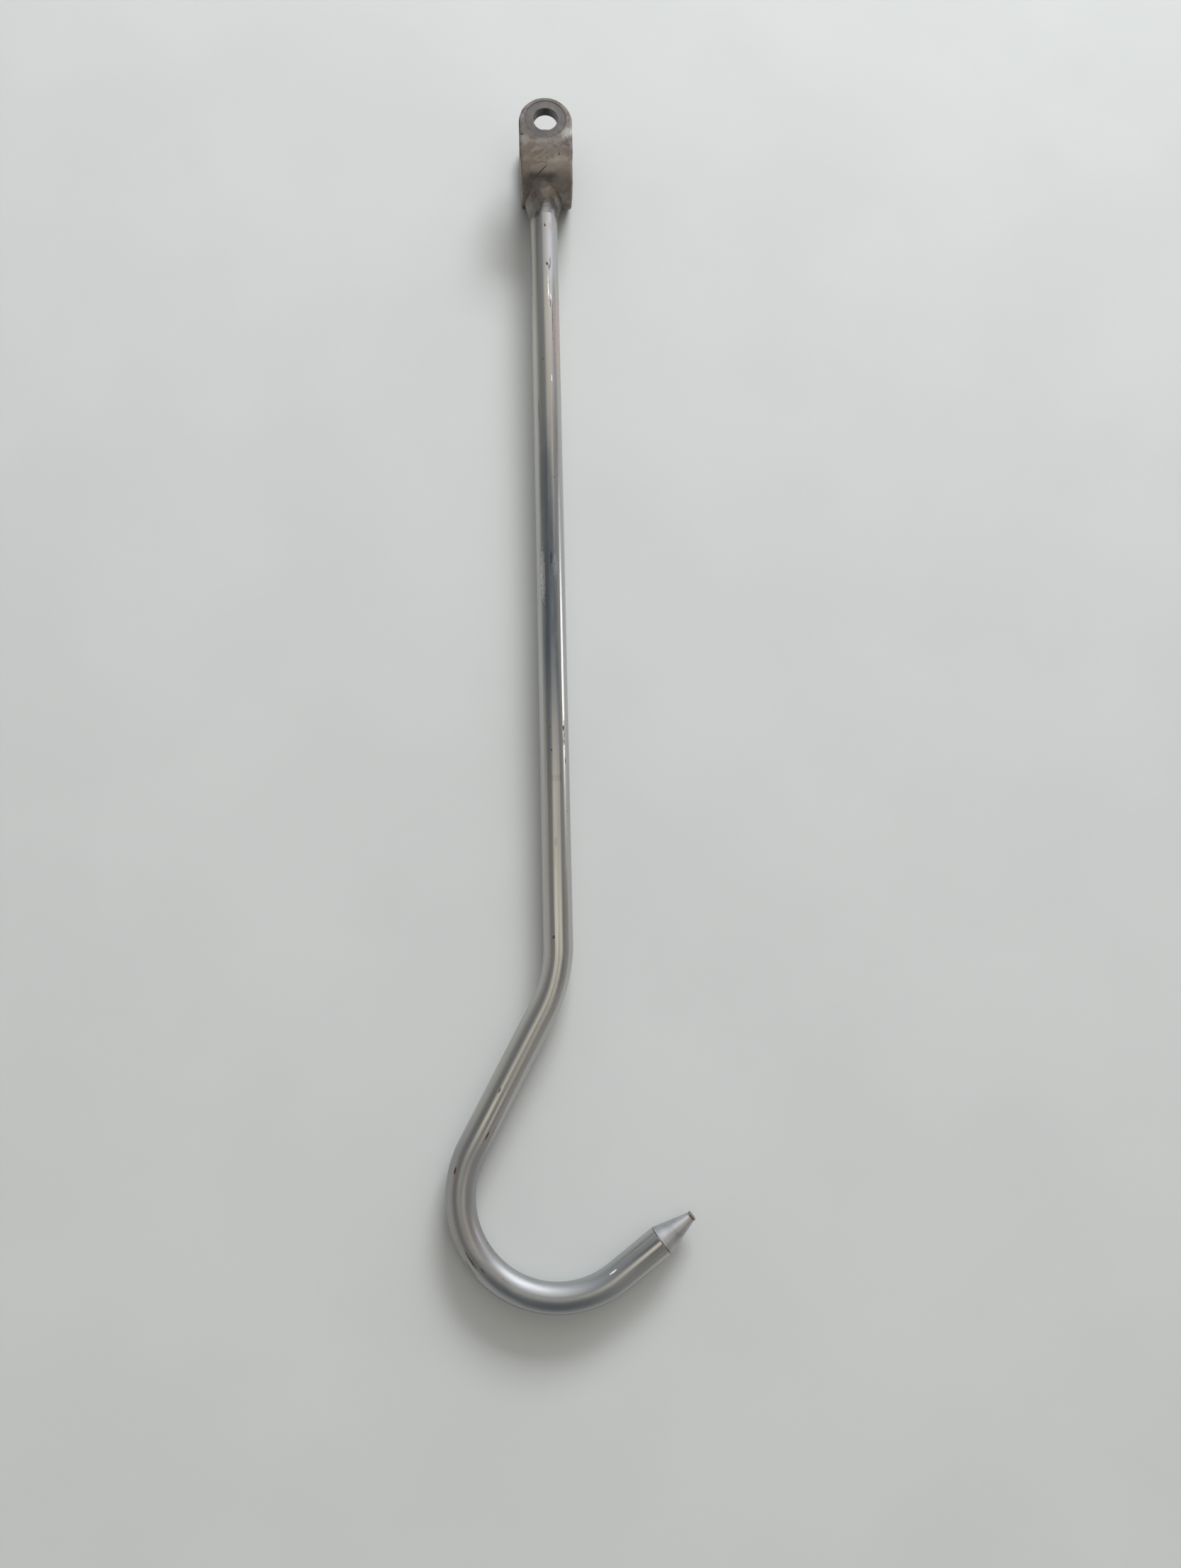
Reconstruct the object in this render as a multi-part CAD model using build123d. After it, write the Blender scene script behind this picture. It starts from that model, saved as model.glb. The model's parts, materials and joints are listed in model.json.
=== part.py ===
"""Long stainless boat hook-end: a tube hook welded to a fork clevis.

The hook lies flat: its bend plane is XY and +Z is up. The origin is the centre of the fork's
cross bore, the bore runs along Z, the fork opens towards +Y and the tube runs towards -Y.
All sizes are millimetres.
"""

import os
from math import sqrt

from build123d import *

# --- flat bar that is bent into the fork -------------------------------------------------
bar_width = 31.0  # width of the flat bar, along X
bar_thickness = 6.0  # thickness of each arm
fork_gap = 20.0  # clear space between the arms, which takes the mating lug
bore_to_crown = 43.0  # bore axis to the outside of the fork's bend
eye_drop = 1.3  # the arms' round ends are centred this far from the bore, towards the bend
bend_pull_in = 0.8  # how far each edge of the bar draws in on the outside of its bend
pull_in_run = 6.0  # straight length over which the bar narrows before the bend
arm_edge_radius = 0.8  # rounding of the arms' long outer edges

# --- cross bore ---------------------------------------------------------------------------
bore_radius = 7.0  # takes a 14 mm class cross pin
bore_edge_break = 0.4  # chamfer at each outer mouth of the bore
spot_face_radius = 12.0  # seat turned round each outer mouth of the bore
spot_face_depth = 0.2

# --- tube that is bent into the hook ------------------------------------------------------
tube_radius = 8.0
tube_wall = 2.0
tube_offset = -2.0  # the tube is welded this far from the fork's middle, along X
shank_length = 432.0  # outside of the fork's bend to the start of the kink
kink_radius = 70.0  # centre-line radius of the slight bend that leans the hook out
kink_angle = 28.7
lean_length = 78.0  # straight run between the kink and the hook's bend
hook_radius = 50.0  # centre-line radius of the hook's bend
hook_angle = 155.0
end_length = 27.5  # straight run between the hook's bend and the plug
tube_edge_break = 0.25  # chamfer round the tube's open end, half of the seam groove

# --- weld between the tube and the fork ---------------------------------------------------
weld_leg_on_tube = 11.0  # how far the bead runs along the tube
weld_spread = 4.6  # how far the bead stands out from the tube at its foot
weld_bite = 0.4  # how far the foot is drawn into the bend before it is coped to it
weld_crown = 0.5  # how far the ground face of the bead bulges

# --- conical plug in the tube's end -------------------------------------------------------
spigot_length = 16.0
spigot_lead_in = 1.0
cone_length = 18.5
cone_tip_radius = 2.6
stub_radius = 2.5  # blunt stub left on the cone's point
stub_length = 2.1
stub_rounding = 0.7
plug_edge_break = 0.25  # chamfer round the plug's shoulder, the other half of the seam groove

# --- sizes that follow from the ones above ------------------------------------------------
outer_bend = fork_gap / 2 + bar_thickness  # outside radius of the fork's bend
inner_bend = fork_gap / 2
fork_half_depth = outer_bend
bend_line = outer_bend - bore_to_crown  # y where the arms' straight part ends
crown = -bore_to_crown  # y of the outside of the fork's bend
bore_through = 4 * outer_bend  # longer than the fork is deep
tube_bore_radius = tube_radius - tube_wall


def trapezoid(half_outer, half_inner, near, far):
    """Section across the bar: its inner edge at near, its outer edge at far, in local Y."""
    return make_face(
        Polyline(
            (-half_inner, near),
            (half_inner, near),
            (half_outer, far),
            (-half_outer, far),
            close=True,
        )
    )


def bar_section(y, pull_in):
    """Section of the upper arm in the plane that faces -Y at the given y."""
    half = bar_width / 2
    plane = Plane(origin=(0, y, 0), x_dir=(1, 0, 0), z_dir=(0, -1, 0))
    return plane * trapezoid(half - pull_in, half, inner_bend, outer_bend)


def upper_arm():
    """One arm: flat bar with a round end, narrowing on its outside just before the bend."""
    taper_start = bend_line + pull_in_run
    straight = -eye_drop - taper_start
    flat = Rectangle(bar_width, straight, align=(Align.CENTER, Align.MAX))
    blank = Pos(0, -eye_drop, 0) * (flat + Circle(bar_width / 2))
    arm = Pos(0, 0, inner_bend) * extrude(blank, bar_thickness)
    outer_edges = arm.edges().filter_by_position(Axis.Z, outer_bend, outer_bend)
    cut_line = outer_edges.sort_by(Axis.Y)[0]
    arm = fillet([edge for edge in outer_edges if edge != cut_line], arm_edge_radius)
    taper = loft([bar_section(taper_start, 0), bar_section(bend_line, bend_pull_in)])
    return arm + taper


def fork_bend():
    """The half-round bend that joins the two arms, narrower on its outside."""
    bend_axis = Axis((0, bend_line, 0), (1, 0, 0))
    return revolve(bar_section(bend_line, bend_pull_in), bend_axis, 180)


def make_fork():
    arm = upper_arm()
    fork = arm + mirror(arm, about=Plane.XY) + fork_bend()
    fork -= Cylinder(bore_radius, bore_through)
    for side in (1, -1):
        seat = Cylinder(
            spot_face_radius, fork_half_depth, align=(Align.CENTER, Align.CENTER, Align.MIN)
        )
        mouth = Cone(
            bore_radius,
            bore_radius + bore_edge_break,
            bore_edge_break,
            align=(Align.CENTER, Align.CENTER, Align.MAX),
        )
        tool = Pos(0, 0, fork_half_depth - spot_face_depth) * (seat + mouth)
        fork -= tool if side > 0 else mirror(tool, about=Plane.XY)
    return fork


def hook_path():
    """Centre line of the tube, from inside the fork's bend to the end of the tube."""
    start = Vector(tube_offset, crown)
    shank_end = start + Vector(0, -shank_length)
    kink = JernArc(shank_end, (0, -1), kink_radius, -kink_angle)
    lean = Line(kink @ 1, (kink @ 1) + (kink % 1) * lean_length)
    bend = JernArc(lean @ 1, lean % 1, hook_radius, hook_angle)
    end = Line(bend @ 1, (bend @ 1) + (bend % 1) * end_length)
    shank = Line(start + Vector(0, bar_thickness / 2), shank_end)
    return Wire([shank, kink, lean, bend, end])


def end_plane(path):
    """Plane on the tube's open end, with its normal pointing out of the tube."""
    return Plane(origin=path @ 1, x_dir=(0, 0, 1), z_dir=path % 1)


def crown_cylinder():
    """Solid that fills the fork's bend, so that what meets the bend is coped to it."""
    return Pos(0, bend_line, 0) * Rot(0, 90, 0) * Cylinder(outer_bend, 2 * bar_width)


def make_tube(path):
    start = Plane(origin=path @ 0, x_dir=(0, 0, 1), z_dir=path % 0)
    tube = sweep(start * (Circle(tube_radius) - Circle(tube_bore_radius)), path=path)
    tube -= crown_cylinder()
    mouth = end_plane(path)
    rim = tube.edges().filter_by(GeomType.CIRCLE).sort_by_distance(mouth.origin)
    outer_rim = [edge for edge in rim[:2] if edge.radius > tube_bore_radius + tube_wall / 2]
    return chamfer(outer_rim, tube_edge_break)


def make_weld():
    """Long bead all round the tube where it stands on the fork's bend, ground nearly flat."""
    foot_radius = tube_radius + weld_spread
    bend_fall = outer_bend - sqrt(outer_bend**2 - foot_radius**2)
    foot = Vector(foot_radius, bend_fall + weld_bite)
    toe = Vector(tube_radius, -weld_leg_on_tube)
    middle = (foot + toe) / 2
    across = (foot - toe).normalized()
    crest = middle + Vector(across.Y, -across.X) * weld_crown
    face = make_face(
        [
            ThreePointArc(toe, crest, foot),
            Line(foot, (tube_radius, foot.Y)),
            Line((tube_radius, foot.Y), toe),
        ]
    )
    ring = revolve(face, Axis.Y, 360)
    return Pos(tube_offset, crown, 0) * ring


def make_plug(path):
    """Turned plug: a spigot inside the tube, a cone outside it and a blunt stub on its point."""
    outline = Polyline(
        (0, -spigot_length),
        (tube_bore_radius - spigot_lead_in, -spigot_length),
        (tube_bore_radius, -spigot_length + spigot_lead_in),
        (tube_bore_radius, 0),
        (tube_radius - plug_edge_break, 0),
        (tube_radius, plug_edge_break),
        (cone_tip_radius, cone_length),
        (stub_radius, cone_length),
        (stub_radius, cone_length + stub_length - stub_rounding),
        (stub_radius - stub_rounding, cone_length + stub_length),
        (0, cone_length + stub_length),
        close=True,
    )
    plug = revolve(Plane.XZ * make_face(outline), Axis.Z, 360)
    return end_plane(path).location * plug


def main():
    os.makedirs("parts", exist_ok=True)
    path = hook_path()
    fork = make_fork()
    tube = make_tube(path)
    weld = make_weld() - crown_cylinder() - tube
    plug = make_plug(path)
    export_step(fork, "parts/fork_clevis.step")
    export_step(weld, "parts/fork_weld.step")
    export_step(tube, "parts/hook_tube.step")
    export_step(plug, "parts/tip_plug.step")


if __name__ == "__main__":
    main()
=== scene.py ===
"""Looks of the long boat hook: a polished tube hook welded to a heat-tinted fork clevis.

Everything is in metres in the part's own frame: the bend plane is XY, +Z is up, the origin is the
centre of the fork's cross bore and the tube runs towards -Y.
"""

import json
from math import ceil, cos, floor, pi, radians, sin, sqrt, tau

import bmesh
import bpy
from bpy.props import FloatProperty, FloatVectorProperty, IntProperty, PointerProperty
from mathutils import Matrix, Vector, noise


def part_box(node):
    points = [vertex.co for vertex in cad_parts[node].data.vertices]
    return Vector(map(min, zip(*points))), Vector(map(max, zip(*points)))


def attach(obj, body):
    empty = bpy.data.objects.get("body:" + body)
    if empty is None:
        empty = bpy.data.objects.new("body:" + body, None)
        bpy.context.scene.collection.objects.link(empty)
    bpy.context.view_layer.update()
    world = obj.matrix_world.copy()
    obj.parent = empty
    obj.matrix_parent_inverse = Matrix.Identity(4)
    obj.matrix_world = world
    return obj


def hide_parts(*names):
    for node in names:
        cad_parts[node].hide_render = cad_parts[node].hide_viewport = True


bl_info = {
    "name": "Boat hook looks",
    "version": (1, 0, 0),
    "blender": (4, 5, 0),
    "location": "View3D > Sidebar > Hook",
    "description": "Builds the detailed surfaces, finishes and stage of a tube hook with a fork",
    "category": "Object",
}

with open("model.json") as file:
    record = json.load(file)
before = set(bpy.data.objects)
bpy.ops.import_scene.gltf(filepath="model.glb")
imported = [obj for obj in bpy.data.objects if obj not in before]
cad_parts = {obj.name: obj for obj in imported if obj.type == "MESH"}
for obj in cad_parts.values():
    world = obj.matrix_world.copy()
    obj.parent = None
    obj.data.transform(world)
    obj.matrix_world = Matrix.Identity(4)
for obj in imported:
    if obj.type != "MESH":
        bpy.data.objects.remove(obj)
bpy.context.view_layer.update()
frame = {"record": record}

MM = 0.001
BODY = "root"

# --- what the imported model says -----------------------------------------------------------
fork_low, fork_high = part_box("fork_clevis")
tube_low, tube_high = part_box("hook_tube")
bore_mount = next(m for m in frame["record"]["mounts"] if m["name"] == "pin_bore")
CROWN = fork_low.y  # outside of the fork's bend
BEND_RADIUS = fork_high.z  # outside radius of the fork's bend
BEND_LINE = CROWN + BEND_RADIUS  # where the arms' straight part ends
TUBE_RADIUS = tube_high.z
BORE_RADIUS = bore_mount["dims"]["r_mm"] * MM


def length(name, text, value, low=0.0):
    return FloatProperty(
        name=name, description=text, default=value, min=low, unit="LENGTH", precision=5
    )


def angle(name, text, degrees):
    return FloatProperty(name=name, description=text, default=radians(degrees), unit="ROTATION")


def share(name, text, value):
    return FloatProperty(
        name=name, description=text, default=value, min=0.0, max=1.0, subtype="FACTOR"
    )


def colour(name, text, rgb):
    return FloatVectorProperty(
        name=name, description=text, default=rgb, size=3, min=0.0, max=1.0, subtype="COLOR"
    )


class HookSizes(bpy.types.PropertyGroup):
    """Sizes of the bent tube, its plug, its weld and its fork."""

    tube_offset: length("Tube offset", "Sideways place of the shank", -0.002, -0.05)
    tube_wall: length("Tube wall", "Wall thickness of the tube", 0.002)
    shank_length: length("Shank length", "Fork's bend to the start of the kink", 0.432)
    kink_radius: length("Kink radius", "Centre-line radius of the slight bend", 0.070)
    kink_angle: angle("Kink angle", "Turn of the slight bend", 28.7)
    lean_length: length("Lean length", "Straight run between the two bends", 0.078)
    hook_radius: length("Hook radius", "Centre-line radius of the hook's bend", 0.050)
    hook_angle: angle("Hook angle", "Turn of the hook's bend", 155.0)
    end_length: length("End length", "Straight run before the plug", 0.0275)
    edge_break: length("Edge break", "Chamfer on each side of the plug's seam", 0.00025)
    bend_flattening: length("Bend flattening", "Flattening of the tube outside a bend", 0.00028)
    polish_waves: length("Polish waves", "Height of the long waves left by hand polishing", 0.00004)
    spigot_length: length("Spigot length", "Part of the plug inside the tube", 0.0159)
    cone_length: length("Cone length", "Length of the plug's cone", 0.0185)
    cone_tip_radius: length("Cone tip radius", "Radius where the cone meets its stub", 0.0026)
    stub_length: length("Stub length", "Length of the rough stub", 0.0021)
    weld_leg: length("Weld leg", "Run of the bead along the tube", 0.0106)
    weld_spread: length("Weld spread", "Run of the bead over the fork's bend", 0.0043)
    weld_crown: length("Weld crown", "Bulge of the ground face of the bead", 0.0004)
    weld_ripple: length("Weld ripple", "Height of the ripples left after grinding", 0.00016)
    weld_steps: IntProperty(name="Weld steps", description="Ripples round the bead", default=17, min=3)
    eye_drop: length("Eye drop", "From the bore to the middle of the arms' round ends", 0.0013)
    bar_thickness: length("Bar thickness", "Thickness of the fork's flat bar", 0.006)
    bend_pull_in: length("Bend pull-in", "How far the bar's edges draw in outside the bend", 0.0008)
    edge_rounding: length("Edge rounding", "Rounding of the fork's long outer edges", 0.0008)
    seat_radius: length("Seat radius", "Radius of the worn seat round the bore", 0.0119)
    seat_depth: length("Seat depth", "Depth of the worn seat", 0.0002)
    bar_lumps: length("Bar lumps", "Height of the hammered and scaled surface", 0.00011)
    outline_wander: length("Outline wander", "Hand-ground wander of the fork's outline", 0.00028)


class HookFinish(bpy.types.PropertyGroup):
    """Colours and polish of the metal."""

    tube_light: colour("Tube light", "Clean polished tube", (0.56, 0.55, 0.535))
    tube_dark: colour("Tube dark", "Duller streaks along the tube", (0.44, 0.44, 0.43))
    tube_polish: share("Tube roughness", "Mean roughness of the tube", 0.19)
    cone_light: colour("Cone", "Turned steel of the plug", (0.56, 0.56, 0.57))
    stub_brown: colour("Stub", "Rough brown stub on the point", (0.25, 0.20, 0.165))
    fork_grey: colour("Fork grey", "Worn grey steel round the eye", (0.33, 0.31, 0.30))
    fork_brown: colour("Fork brown", "Heat-tinted steel", (0.17, 0.14, 0.115))
    fork_dark: colour("Fork dark", "Darkest heat tint near the weld", (0.075, 0.063, 0.058))
    straw: colour("Straw", "Straw-coloured heat tint", (0.27, 0.225, 0.17))
    violet: colour("Violet", "Violet heat tint", (0.13, 0.105, 0.125))


class HookStage(bpy.types.PropertyGroup):
    """Floor, lights and camera."""

    floor_size: length("Floor size", "Side of the square floor", 9.0)
    floor_colour: colour("Floor", "Pale table colour", (0.66, 0.674, 0.668))
    camera_place: FloatVectorProperty(
        name="Camera place",
        description="Where the camera stands",
        default=(-0.0102, -0.4921, 0.6227),
        size=3,
        subtype="XYZ",
        unit="LENGTH",
    )
    camera_turn: FloatVectorProperty(
        name="Camera turn",
        description="Rotation of the camera",
        default=(radians(9.446), radians(-2.287), radians(-1.421)),
        size=3,
        subtype="EULER",
        unit="ROTATION",
    )
    focal_length: FloatProperty(name="Focal length", description="In millimetres", default=26.85)
    window_strength: FloatProperty(name="Window", description="Power of the window light", default=88.0)


# --- mesh helpers --------------------------------------------------------------------------


def smooth_piece(piece, sharp_angle):
    """Smooth shading with edges kept sharp above an angle in degrees."""
    shape = bmesh.new()
    shape.from_mesh(piece.data)
    bmesh.ops.recalc_face_normals(shape, faces=shape.faces)
    for face in shape.faces:
        face.smooth = True
    for edge in shape.edges:
        edge.smooth = edge.calc_face_angle(0.0) < radians(sharp_angle)
    shape.to_mesh(piece.data)
    shape.free()


def link_piece(mesh, sharp_angle):
    """Puts a mesh in the scene, under its own name, as one smooth-shaded piece."""
    piece = bpy.data.objects.new(mesh.name, mesh)
    bpy.context.scene.collection.objects.link(piece)
    smooth_piece(piece, sharp_angle)
    return piece


def new_piece(name, verts, faces, run=None, sharp_angle=35.0):
    """A smooth-shaded mesh object; run is the place of each vertex on the straightened part."""
    mesh = bpy.data.meshes.new(name)
    mesh.from_pydata([tuple(v) for v in verts], [], faces)
    mesh.update()
    if run is not None:
        straight = mesh.attributes.new("run", "FLOAT_VECTOR", "POINT")
        straight.data.foreach_set("vector", [value for point in run for value in point])
    return link_piece(mesh, sharp_angle)


def eased(value):
    """Smooth rise of a value from 0 to 1, held at both ends."""
    value = min(max(value, 0.0), 1.0)
    return value * value * (3 - 2 * value)


def bridge(first, second):
    """Quads between two closed rings of vertex numbers of equal length."""
    count = len(first)
    return [
        (first[i], first[(i + 1) % count], second[(i + 1) % count], second[i]) for i in range(count)
    ]


class RingStack:
    """Collects closed rings of points and joins each one to the ring before it."""

    def __init__(self):
        self.verts = []
        self.faces = []
        self.run = []
        self.last = None
        self.first = None

    def ring(self, points, run):
        numbers = list(range(len(self.verts), len(self.verts) + len(points)))
        self.verts += points
        self.run += run
        if self.last is not None:
            self.faces += bridge(self.last, numbers)
        if self.first is None:
            self.first = numbers
        self.last = numbers

    def close(self):
        self.faces += bridge(self.last, self.first)

    def cap(self, ring, centre, run):
        hub = len(self.verts)
        self.verts.append(centre)
        self.run.append(run)
        count = len(ring)
        self.faces += [(ring[i], ring[(i + 1) % count], hub) for i in range(count)]


def check_inside(piece, node, slack=0.4 * MM):
    """Stops the script if a piece leaves the space of the CAD node that it replaces."""
    low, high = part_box(node)
    for vertex in piece.data.vertices:
        for axis in range(3):
            if not low[axis] - slack < vertex.co[axis] < high[axis] + slack:
                raise RuntimeError(f"{piece.name} leaves the box of {node} at {tuple(vertex.co)}")


# --- the tube's centre line ----------------------------------------------------------------


class Stretch:
    """One straight or curved stretch of the tube's centre line, in the bend plane."""

    def __init__(self, start, heading, run, turn=0.0):
        self.start, self.heading, self.run, self.turn = start, heading, run, turn

    def at(self, along):
        """Place and heading at a distance along this stretch."""
        if self.turn == 0.0:
            way = Vector((cos(self.heading), sin(self.heading), 0.0))
            return self.start + way * along, self.heading
        radius = self.run / self.turn
        heading = self.heading + along / radius
        middle = self.start + Vector((-sin(self.heading), cos(self.heading), 0.0)) * radius
        return middle - Vector((-sin(heading), cos(heading), 0.0)) * radius, heading


def tube_stretches(sizes):
    """The tube's runs and bends in order, from the fork's bend to the plug."""
    plan = [
        (sizes.shank_length, 0.0),
        (sizes.kink_radius * sizes.kink_angle, -sizes.kink_angle),
        (sizes.lean_length, 0.0),
        (sizes.hook_radius * sizes.hook_angle, sizes.hook_angle),
        (sizes.end_length, 0.0),
    ]
    place, heading = Vector((sizes.tube_offset, CROWN, 0.0)), -pi / 2
    stretches = []
    for run, turn in plan:
        stretch = Stretch(place, heading, run, turn)
        stretches.append(stretch)
        place, heading = stretch.at(run)
    return stretches


def tube_end(sizes):
    """Place and heading of the tube's open end."""
    last = tube_stretches(sizes)[-1]
    return last.at(last.run)


LONGEST_EASE = 20 * MM  # run over which the tube goes from round to fully bent


def bend_share(stretch, along):
    """How fully bent the tube is here: 0 on a straight run and at a bend's ends, 1 inside it."""
    if stretch.turn == 0.0:
        return 0.0
    ease = min(stretch.run / 3, LONGEST_EASE)
    return eased(min(along, stretch.run - along) / ease)


# --- the tube ------------------------------------------------------------------------------

TUBE_SIDES = 88
TUBE_STEP = 2.4 * MM
BEND_STEP = radians(1.6)
INNER_STEP = 8  # the inside has one ring for this many outside


def section_ring(place, heading, radii, along):
    """A ring of points round the centre line and its places on the straightened tube."""
    across = Vector((-sin(heading), cos(heading), 0.0))
    points, run = [], []
    for side, radius in enumerate(radii):
        turn = tau * side / len(radii) - pi / 2
        points.append(place + across * (radius * cos(turn)) + Vector((0, 0, radius * sin(turn))))
        run.append((radius * cos(turn), along, radius * sin(turn)))
    return points, run


def outer_radii(sizes, stretch, along, total):
    """Radius on each side of the tube, flattened outside a bend and gently waved by polishing."""
    share_bent = bend_share(stretch, along)
    outside = -1.0 if stretch.turn > 0 else 1.0
    radii = []
    for side in range(TUBE_SIDES):
        turn = tau * side / TUBE_SIDES - pi / 2
        outward = max(0.0, outside * cos(turn))
        inward = max(0.0, -outside * cos(turn))
        flat = sizes.bend_flattening * share_bent * (outward**2 + 0.45 * inward**2)
        spot = Vector((cos(turn) * 0.9, total * 26.0, sin(turn) * 0.9))
        wave = sizes.polish_waves * (0.5 + 0.5 * noise.noise(spot))
        fine = sizes.polish_waves * 0.35 * (0.5 + 0.5 * noise.noise(spot * 3.1))
        radii.append(TUBE_RADIUS - flat - wave - fine)
    return radii


def cope(points):
    """Moves the first ring along the tube so that it stands on the fork's half-round bend."""
    for point in points:
        point.y = BEND_LINE - sqrt(BEND_RADIUS**2 - point.z**2)
    return points


def build_tube(sizes):
    stack = RingStack()
    stretches = tube_stretches(sizes)
    inner = []
    total = 0.0
    count = 0
    for number, stretch in enumerate(stretches):
        steps = ceil(abs(stretch.turn) / BEND_STEP) if stretch.turn else ceil(stretch.run / TUBE_STEP)
        last = number == len(stretches) - 1
        for step in range(steps + (1 if last else 0)):
            along = stretch.run * step / steps
            if last and step == steps:
                along -= sizes.edge_break
            place, heading = stretch.at(along)
            radii = outer_radii(sizes, stretch, along, total + along)
            points, run = section_ring(place, heading, radii, total + along)
            if count == 0:
                points = cope(points)
            stack.ring(points, run)
            if count % INNER_STEP == 0 and not (last and step > steps - 2):
                inner.append((place, heading, total + along))
            count += 1
        total += stretch.run
    bore = [TUBE_RADIUS - sizes.tube_wall] * TUBE_SIDES
    place, heading = tube_end(sizes)
    rim = [TUBE_RADIUS - sizes.edge_break] * TUBE_SIDES
    stack.ring(*section_ring(place, heading, rim, total))
    stack.ring(*section_ring(place, heading, bore, total))
    for place, heading, along in reversed(inner):
        points, run = section_ring(place, heading, bore, along)
        if along == 0.0:
            points = cope(points)
        stack.ring(points, run)
    stack.close()
    return new_piece("polished_hook_tube", stack.verts, stack.faces, stack.run)


# --- the plug ------------------------------------------------------------------------------

PLUG_SIDES = 96
STUB_RINGS = 12
CONE_RINGS = 30
PLUG_CLEARANCE = 0.01 * MM
SPIGOT_LEAD_IN = 1.0 * MM


def stub_radius(sizes, turn, share_up):
    """Torn outline of the stub: a lip on one side and a rough break all round."""
    rough = noise.noise(Vector((cos(turn) * 2.3, sin(turn) * 2.3, share_up * 2.6)))
    fine = noise.noise(Vector((cos(turn) * 6.1, sin(turn) * 6.1, share_up * 7.0 + 5.0)))
    neck = 1.0 - 0.16 * sin(pi * min(share_up * 2.2, 1.0))
    lip = 0.12 * max(0.0, cos(turn - 0.9)) * share_up
    top = 1.0 - 0.30 * max(0.0, share_up - 0.55) ** 2 / 0.2
    return sizes.cone_tip_radius * (neck * top + lip + 0.13 * rough + 0.06 * fine) * 0.97


def plug_profile(sizes):
    """Distance along the plug and radius of each ring, from the spigot's end to the stub's foot."""
    bore = TUBE_RADIUS - sizes.tube_wall - PLUG_CLEARANCE
    profile = [
        (-sizes.spigot_length, bore - SPIGOT_LEAD_IN),
        (-sizes.spigot_length + SPIGOT_LEAD_IN, bore),
        (PLUG_CLEARANCE, bore),
        (PLUG_CLEARANCE, TUBE_RADIUS - sizes.edge_break),
        (sizes.edge_break * 0.5, TUBE_RADIUS - sizes.edge_break * 0.35),
        (sizes.edge_break, TUBE_RADIUS - PLUG_CLEARANCE),
    ]
    for step in range(1, CONE_RINGS + 1):
        share_up = step / CONE_RINGS
        along = sizes.edge_break + (sizes.cone_length - sizes.edge_break) * share_up
        radius = TUBE_RADIUS + (sizes.cone_tip_radius - TUBE_RADIUS) * share_up
        profile.append((along, radius))
    return profile


def build_plug(sizes):
    """The turned plug: spigot in the tube, cone with softened shoulder, torn stub on its point."""
    place, heading = tube_end(sizes)
    way = Vector((cos(heading), sin(heading), 0.0))
    across = Vector((-sin(heading), cos(heading), 0.0))
    turns = [tau * side / PLUG_SIDES for side in range(PLUG_SIDES)]
    stack = RingStack()

    def add(along, radii):
        points, run = [], []
        for turn, radius in zip(turns, radii):
            offset = across * (radius * cos(turn)) + Vector((0, 0, radius * sin(turn)))
            points.append(place + way * along + offset)
            run.append((radius * cos(turn), along, radius * sin(turn)))
        stack.ring(points, run)

    for along, radius in plug_profile(sizes):
        add(along, [radius] * PLUG_SIDES)
    for step in range(1, STUB_RINGS + 1):
        share_up = step / STUB_RINGS
        along = sizes.cone_length + sizes.stub_length * share_up**0.9 * 0.93
        add(along, [stub_radius(sizes, turn, share_up) for turn in turns])
    for shrink in (0.72, 0.4):
        radii = [stub_radius(sizes, turn, 1.0) * shrink for turn in turns]
        dip = 0.05 * MM * (1 + noise.noise(Vector((shrink * 9.0, 2.0, 4.0))))
        add(sizes.cone_length + sizes.stub_length * 0.95 - dip, radii)
    top = place + way * (sizes.cone_length + sizes.stub_length * 0.93)
    stack.cap(stack.last, top, (0.0, sizes.cone_length + sizes.stub_length, 0.0))
    stack.cap(stack.first, place - way * sizes.spigot_length, (0.0, -sizes.spigot_length, 0.0))
    return new_piece("turned_tip_plug", stack.verts, stack.faces, stack.run, sharp_angle=40.0)


# --- the weld ------------------------------------------------------------------------------

WELD_SIDES = 204
WELD_PROFILE = 16
WELD_BURY = 0.25 * MM  # how far the bead's hidden side lies in the metal


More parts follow.
